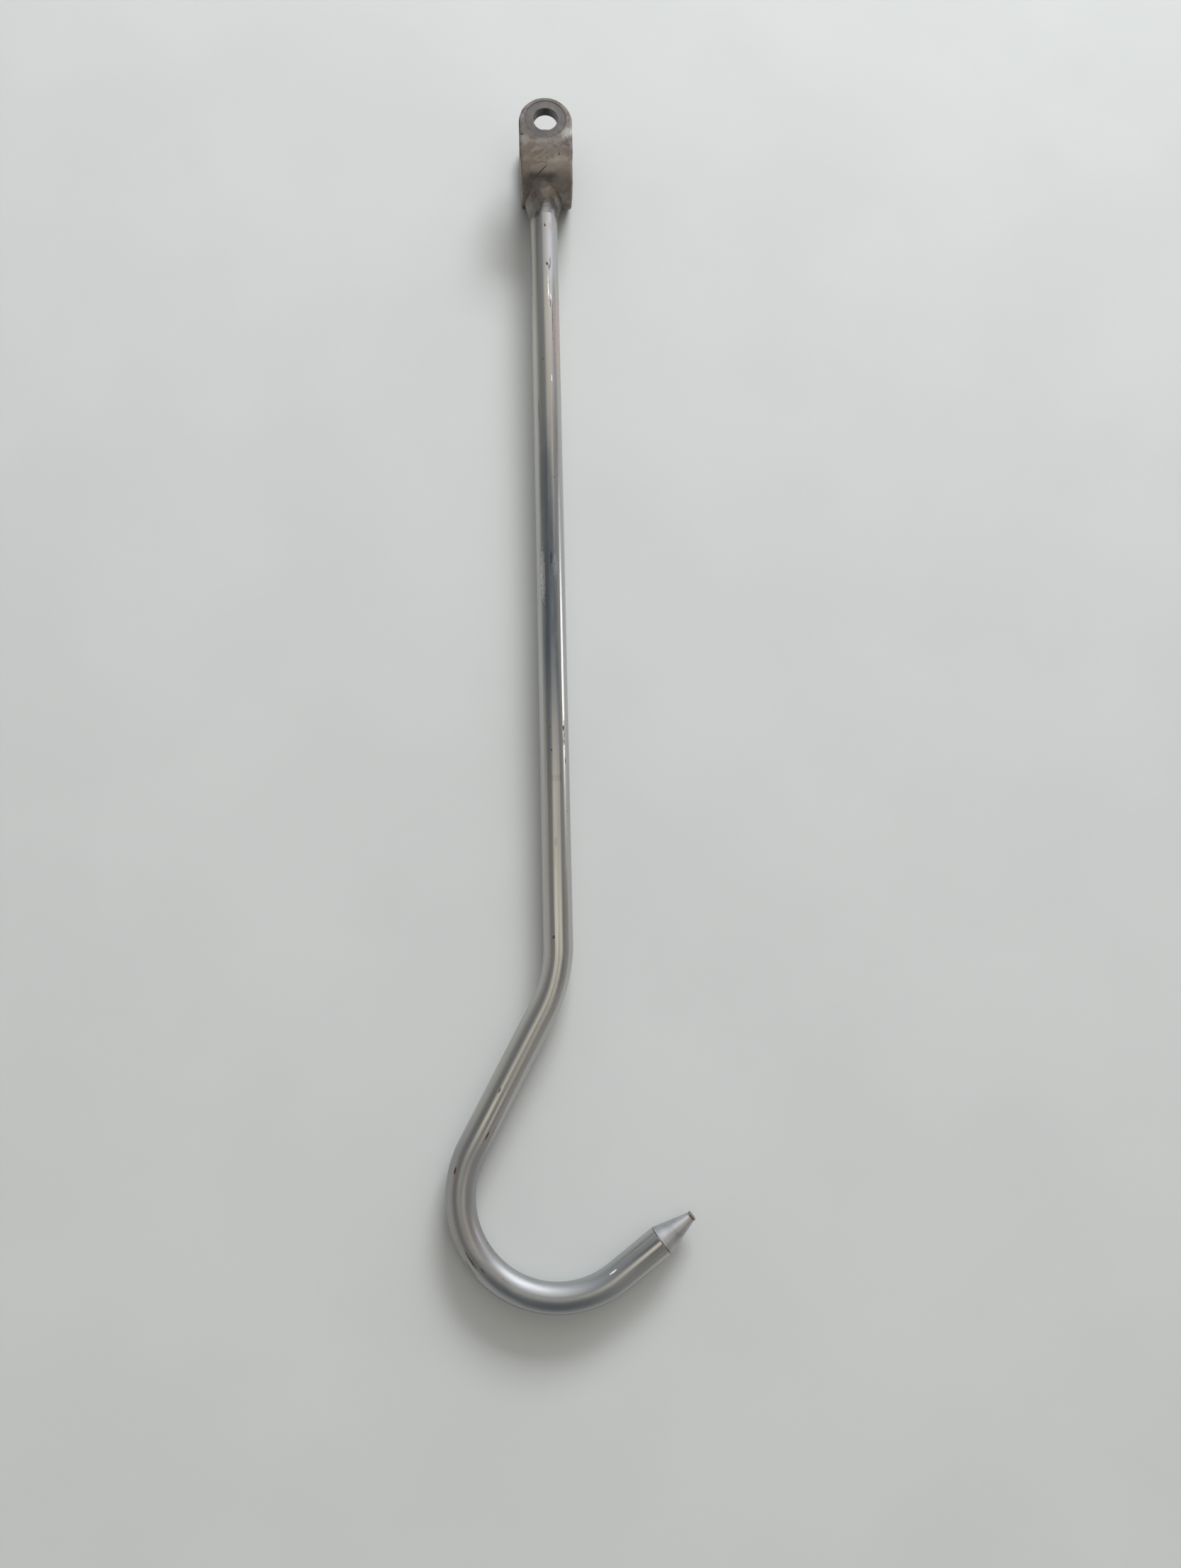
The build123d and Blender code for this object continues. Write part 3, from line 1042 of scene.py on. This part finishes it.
def weld_heat(f, run, place):
    """Burnt fringe round the weld: how burnt the steel is there, and the colour of the burn."""
    across, along = f.part(run, 0), f.part(run, 1)
    patches = f.noise(place, 170.0, 5.0, 0.6, 0.4)
    rubbed = f.noise(place, 420.0, 5.0, 0.65, 0.6)
    off_middle = f.minus(across, 0.0022)
    hollow = f.times(f.times(off_middle, off_middle), 330.0)
    bare = f.minus(along, f.math("MINIMUM", hollow, 0.0082))
    bare = f.plus(bare, f.swing(rubbed, 0.0075))
    burnt = f.spread(bare, 0.0026, 0.0092, 1.0, 0.0)
    shade = f.mix(f.spread(patches, 0.38, 0.62), (0.125, 0.118, 0.112), (0.27, 0.25, 0.23))
    return burnt, shade


def weld_finish(look):
    """Ground weld metal: brown and black oxide over the fork's side, grey metal by the tube."""
    f = Finish("ground_weld_metal", 0.9)
    run = f.straight_place()
    place = f.object_place()
    across, along = f.part(run, 0), f.part(run, 1)
    patches = f.noise(place, 150.0, 5.0, 0.6, 0.6)
    grain = f.noise(place, 1300.0, 4.0, 0.7)
    burnt, burn_shade = weld_heat(f, run, place)
    foot = f.spread(along, 0.0045, -0.0020)
    fork_side = f.mix(f.spread(patches, 0.40, 0.62), (0.20, 0.178, 0.158), (0.35, 0.31, 0.27))
    burn_shade = f.layer(burn_shade, foot, 0.9, fork_side)
    arc = f.between(f.plus(along, f.times(patches, 0.0014)), 0.0000, 0.0024, 0.0010)
    arc = f.times(arc, f.spread(patches, 0.36, 0.58, 0.1, 0.45))
    burn_shade = f.mix(arc, burn_shade, look.straw)
    burn_shade = f.mix(f.spread(grain, 0.55, 0.72, 0.0, 0.5), burn_shade, look.violet)
    side = f.times(f.spread(across, -0.0050, -0.0085), f.spread(along, -0.001, 0.005))
    burn_shade = f.layer(burn_shade, side, 0.7, (0.29, 0.27, 0.245))
    steel = f.mix(f.spread(grain, 0.40, 0.65), WELD_BARE, (0.50, 0.495, 0.49))
    steel = f.mix(burnt, steel, burn_shade)
    rough = f.spread(burnt, 0.0, 1.0, 0.36, 0.50)
    f.bump(grain, 0.20, 0.00008)
    f.bump(patches, 0.20, 0.00012)
    return f.done(steel, rough)


def seat_steel(f, steel, from_axis, broad, blotch, seat_radius):
    """The grey seat worn round the mouth of the bore, with painted shade along its rim."""
    radial = f.plus(from_axis, f.swing(blotch, 0.0018))
    seat = f.spread(radial, seat_radius - 0.0003, seat_radius + 0.0008, 1.0, 0.0)
    worn_grey = f.mix(f.spread(broad, 0.35, 0.65), (0.185, 0.175, 0.176), (0.255, 0.243, 0.238))
    steel = f.layer(steel, seat, 0.85, worn_grey)
    # Painted shade: a dark line round the seat's edge, where its small step lies in shade.
    rim = f.between(radial, seat_radius - 0.0004, seat_radius + 0.0003, 0.0004)
    rim = f.times(rim, f.spread(blotch, 0.35, 0.6, 0.05, 0.45))
    return f.mix(rim, steel, (0.08, 0.07, 0.066))


def fork_finish(look, sizes):
    """Flat bar that was heated: grey and worn at the eye, brown, violet and black near the weld, with
    painted light on the bend's upper side and painted shade in the bore and round the seat.
    """
    f = Finish("heat_tinted_flat_bar", 0.85)
    place = f.object_place()
    x, y, z = f.part(place, 0), f.part(place, 1), f.part(place, 2)
    broad = f.noise(place, 62.0, 5.0, 0.6, 0.6)
    blotch = f.noise(place, 150.0, 6.0, 0.62, 0.6)
    grain = f.noise(place, 1100.0, 5.0, 0.7)
    slanted = turned_about_z(f, place, radians(-35))
    strokes = f.noise(slanted, (90.0, 260.0, 200.0), 5.0, 0.62, 0.8)
    reach = f.plus(y, f.swing(broad, 0.026))

    steel = f.mix(f.spread(reach, -0.026, -0.006), look.fork_brown, look.fork_grey)
    steel = f.mix(f.spread(blotch, 0.42, 0.66, 0.0, 0.75), steel, (0.21, 0.178, 0.155))
    steel = f.mix(f.spread(strokes, 0.48, 0.64, 0.0, 0.75), steel, (0.33, 0.29, 0.245))
    burnt = f.noise(place, (210.0, 260.0, 210.0), 5.0, 0.6, 0.9)
    steel = f.mix(f.spread(burnt, 0.55, 0.70, 0.0, 0.6), steel, (0.155, 0.115, 0.085))
    violet = f.spread(f.noise(place, 105.0, 4.0, 0.55, 1.2), 0.56, 0.70, 0.0, 0.7)
    steel = f.mix(violet, steel, look.violet)
    # Painted light: the upper side of the bend is lightened to make up for the bend turning away from
    # the light.
    painted_light_on_bend = f.times(f.spread(y, -0.024, -0.033, 0.0, 0.62), f.spread(z, -0.002, 0.002))
    painted_bend_light_colour = f.mix(f.spread(burnt, 0.4, 0.6), (0.40, 0.365, 0.325), (0.33, 0.285, 0.25))
    steel = f.mix(painted_light_on_bend, steel, painted_bend_light_colour)
    wobble = f.swing(f.noise(place, 330.0, 4.0, 0.6), 2.2)
    upper = f.spread(z, -0.001, 0.001)
    for middle, half, turn, shade, strength in FORK_MARKS:
        mark = patch(f, place, wobble, middle, half, 0.45, turn)
        steel = f.layer(steel, f.times(mark, upper), strength, shade)
    sooty = f.times(f.spread(reach, -0.026, -0.042), f.spread(blotch, 0.66, 0.38, 0.02, 0.28))
    steel = f.mix(sooty, steel, look.fork_dark)
    band = f.times(f.between(y, -0.0365, -0.0335, 0.0015), f.between(x, -0.0100, 0.0060, 0.0030))
    steel = f.layer(steel, band, 0.6, (0.08, 0.07, 0.062))

    outline = f.math("ABSOLUTE", x)
    outline = f.plus(outline, f.swing(blotch, 0.0016))
    wall = f.spread(outline, 0.0146, 0.0156)
    steel = f.layer(steel, wall, 0.8, (0.085, 0.055, 0.048))

    flat = f.vector("MULTIPLY", place, (1.0, 1.0, 0.0))
    from_axis = f.vector("LENGTH", flat, output="Value")
    steel = seat_steel(f, steel, from_axis, broad, blotch, sizes.seat_radius)
    steel = f.mix(f.spread(grain, 0.60, 0.75, 0.0, 0.35), steel, (0.10, 0.085, 0.08))
    # Painted shade: the bore and its mouth are darkened as if in shadow.
    bore = f.spread(from_axis, BORE_RADIUS + 0.0004, BORE_RADIUS)
    steel = f.layer(steel, bore, 0.6, (0.16, 0.16, 0.165))
    rough = f.spread(blotch, 0.3, 0.75, 0.42, 0.60)
    f.bump(grain, 0.25, 0.00012)
    f.bump(blotch, 0.30, 0.00025)
    return f.done(steel, rough)


def floor_finish(stage):
    """Pale painted table top with a faint mottle."""
    f = Finish("pale_table_paint", 0.0)
    place = f.object_place()
    mottle = f.noise(place, 9.0, 4.0, 0.5)
    grain = f.noise(place, 900.0, 3.0, 0.6)
    pale = tuple(stage.floor_colour)
    shade = tuple(0.97 * part for part in pale)
    paint = f.mix(f.spread(mottle, 0.35, 0.65), pale, shade)
    rough = f.spread(mottle, 0.3, 0.7, 0.52, 0.60)
    f.bump(grain, 0.06, 0.0001)
    return f.done(paint, rough)


def dress(piece, material):
    """Puts one material on every face of a piece."""
    piece.data.materials.clear()
    piece.data.materials.append(material)


def mount_piece(piece, node, material):
    """Common last steps of a piece that stands for a CAD node."""
    check_inside(piece, node)
    dress(piece, material)
    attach(piece, BODY)
    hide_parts(node)


# --- operators -----------------------------------------------------------------------------


class HOOK_OT_tube(bpy.types.Operator):
    """Build the polished hook tube"""

    bl_idname = "hook.tube"
    bl_label = "Hook tube"

    def execute(self, context):
        piece = build_tube(context.scene.hook_sizes)
        mount_piece(piece, "hook_tube", tube_finish(context.scene.hook_finish))
        return {"FINISHED"}


class HOOK_OT_plug(bpy.types.Operator):
    """Build the turned conical plug and its torn stub"""

    bl_idname = "hook.plug"
    bl_label = "Tip plug"

    def execute(self, context):
        sizes = context.scene.hook_sizes
        piece = build_plug(sizes)
        mount_piece(piece, "tip_plug", plug_finish(context.scene.hook_finish, sizes))
        return {"FINISHED"}


class HOOK_OT_weld(bpy.types.Operator):
    """Build the rippled weld bead between the tube and the fork"""

    bl_idname = "hook.weld"
    bl_label = "Fork weld"

    def execute(self, context):
        piece = build_weld(context.scene.hook_sizes)
        mount_piece(piece, "fork_weld", weld_finish(context.scene.hook_finish))
        return {"FINISHED"}


class HOOK_OT_fork(bpy.types.Operator):
    """Build the bent flat-bar fork with its worn edges and heat tint"""

    bl_idname = "hook.fork"
    bl_label = "Fork clevis"

    def execute(self, context):
        sizes = context.scene.hook_sizes
        piece = build_fork(sizes)
        mount_piece(piece, "fork_clevis", fork_finish(context.scene.hook_finish, sizes))
        return {"FINISHED"}


FLOOR_GAP = 0.05 * MM  # keeps the table just clear of what lies on it


def floor_plane():
    """Height and slope of the table that the fork's bend and the hook's bend both touch."""
    hook_bottom_y = tube_low.y + TUBE_RADIUS
    slope = (fork_high.z - TUBE_RADIUS) / (BEND_LINE - hook_bottom_y)
    return -fork_high.z, slope


def window_lamp(azimuth, elevation, distance, size, power, target):
    """The soft daylight that casts the shadows; azimuth is measured from +Y towards +X."""
    data = bpy.data.lights.new("window", "AREA")
    data.shape = "RECTANGLE"
    data.size, data.size_y = size
    data.energy = power
    data.color = (0.96, 0.985, 1.0)
    lamp = bpy.data.objects.new("window", data)
    bpy.context.scene.collection.objects.link(lamp)
    flat = cos(elevation)
    way = Vector((sin(azimuth) * flat, cos(azimuth) * flat, sin(elevation)))
    lamp.location = target + way * distance
    lamp.rotation_euler = (-way).to_track_quat("-Z", "Y").to_euler()
    lamp.visible_glossy = False  # the room's own window is what shows in the metal


# The soft room round the table. Walls: azimuths from +Y towards +X and elevations, in degrees.
WALL_PANELS = (
    ("left_wall", (-160, -77), (-10, 25), 5, (0.565, 0.542, 0.486)),
    ("left_cupboard", (-77, -38), (-10, 13), 5, (0.52, 0.508, 0.475)),
    ("far_wall", (-42, 8), (-10, 50), 12, (0.429, 0.452, 0.486)),
    ("right_wall", (50, 150), (-10, 40), 10, (0.35, 0.339, 0.322)),
    ("window_glow", (-12, 50), (-10, 54), 14, (1.02, 1.05, 1.11)),
    ("window", (12, 46), (-10, 32), 9, (2.94, 3.05, 3.22)),
    ("side_window", (70.5, 79), (-10, 13), 4, (3.73, 3.56, 3.62)),
)
# Ceiling: ranges of x/z and y/z, so that panels are squares overhead.
CEILING_PANELS = (
    ("blue_ceiling", (-1.40, 0.95), (0.27, 0.50), 0.05, (0.141, 0.169, 0.198)),
    ("grey_ceiling", (-0.22, 0.95), (0.14, 0.28), 0.05, (0.531, 0.508, 0.508)),
    ("warm_ceiling", (-0.16, 0.85), (0.50, 0.95), 0.05, (0.994, 0.927, 0.802)),
    ("pale_ceiling", (-0.42, 0.70), (-0.60, 0.167), 0.05, (0.949, 0.904, 0.78)),
    ("worker", (-1.30, 0.42), (-1.60, -0.20), 0.06, (0.215, 0.215, 0.215)),
    ("lamp_arm", (0.02, 0.24), (-0.22, 0.02), 0.04, (0.215, 0.215, 0.215)),
)


def room_light():
    """World light: a dim ceiling, mid-grey walls, two windows and a few plain panels."""
    world = bpy.data.worlds.new("soft_room")
    bpy.context.scene.world = world
    world.use_nodes = True
    n = Nodes(world.node_tree)
    background = n.tree.nodes["Background"]
    way = n.node("ShaderNodeTexCoord").outputs["Generated"]
    x, y, z = n.part(way, 0), n.part(way, 1), n.part(way, 2)
    light = n.mix(n.spread(z, 0.30, 0.80), (0.30, 0.295, 0.28), (0.245, 0.243, 0.232))
    light = n.mix(n.spread(y, -0.10, -0.60, 0.0, 0.75), light, (0.235, 0.238, 0.24))
    azimuth = n.math("ARCTAN2", x, y)
    elevation = n.math("ARCSINE", z)
    for _, (low, high), (foot, head), soft, tint in WALL_PANELS:
        across = n.between(azimuth, radians(low), radians(high), radians(soft))
        up = n.between(elevation, radians(foot), radians(head), radians(min(soft, 9)))
        light = n.mix(n.times(across, up), light, tint)
    above = n.math("MAXIMUM", z, 0.05)
    over_x, over_y = n.math("DIVIDE", x, above), n.math("DIVIDE", y, above)
    overhead = n.spread(z, 0.30, 0.45)
    for _, (left, right), (near, far), soft, tint in CEILING_PANELS:
        mask = n.times(n.between(over_x, left, right, soft), n.between(over_y, near, far, soft))
        light = n.mix(n.times(mask, overhead), light, tint)
    n.link(light, background.inputs["Color"])
    background.inputs["Strength"].default_value = 1.0


def lay_table(stage):
    """A square table top under the hook."""
    height, slope = floor_plane()
    half = stage.floor_size / 2
    corners = []
    for x, y in ((-half, -half), (half, -half), (half, half), (-half, half)):
        corners.append((x, y, height + slope * (BEND_LINE - y) - FLOOR_GAP))
    floor_piece = new_piece("pale_table", corners, [(0, 1, 2, 3)])
    dress(floor_piece, floor_finish(stage))


def set_camera(scene, stage):
    camera_data = bpy.data.cameras.new("camera")
    camera_data.sensor_width = 36.0
    camera_data.lens = stage.focal_length
    camera_data.clip_start = 0.01
    camera = bpy.data.objects.new("camera", camera_data)
    scene.collection.objects.link(camera)
    camera.location = stage.camera_place
    camera.rotation_euler = stage.camera_turn
    scene.camera = camera


class HOOK_OT_stage(bpy.types.Operator):
    """Lay the pale floor and set the soft lights and the camera"""

    bl_idname = "hook.stage"
    bl_label = "Stage"

    def execute(self, context):
        scene = context.scene
        stage = scene.hook_stage
        lay_table(stage)
        target = Vector((0.0, (fork_high.y + tube_low.y) / 2, 0.0))
        window_size = (1.5, 0.75)
        window_lamp(radians(16), radians(25), 3.0, window_size, stage.window_strength, target)
        room_light()
        set_camera(scene, stage)
        scene.view_settings.view_transform = "Standard"
        return {"FINISHED"}


class HOOK_PT_panel(bpy.types.Panel):
    """Sidebar panel that lists the hook's builders"""

    bl_idname = "HOOK_PT_panel"
    bl_label = "Boat hook"
    bl_space_type = "VIEW_3D"
    bl_region_type = "UI"
    bl_category = "Hook"

    def draw(self, context):
        for step in STEPS:
            self.layout.operator(step.bl_idname)
        for group in (context.scene.hook_sizes, context.scene.hook_finish, context.scene.hook_stage):
            box = self.layout.box()
            for name in group.__annotations__:
                box.prop(group, name)


STEPS = (HOOK_OT_stage, HOOK_OT_tube, HOOK_OT_plug, HOOK_OT_weld, HOOK_OT_fork)
CLASSES = (HookSizes, HookFinish, HookStage, *STEPS, HOOK_PT_panel)


def register():
    for cls in CLASSES:
        bpy.utils.register_class(cls)
    bpy.types.Scene.hook_sizes = PointerProperty(type=HookSizes)
    bpy.types.Scene.hook_finish = PointerProperty(type=HookFinish)
    bpy.types.Scene.hook_stage = PointerProperty(type=HookStage)


def unregister():
    del bpy.types.Scene.hook_stage
    del bpy.types.Scene.hook_finish
    del bpy.types.Scene.hook_sizes
    for cls in reversed(CLASSES):
        bpy.utils.unregister_class(cls)


def main():
    register()
    bpy.ops.hook.stage()
    bpy.ops.hook.tube()
    bpy.ops.hook.plug()
    bpy.ops.hook.weld()
    bpy.ops.hook.fork()


if __name__ == "__main__":
    main()
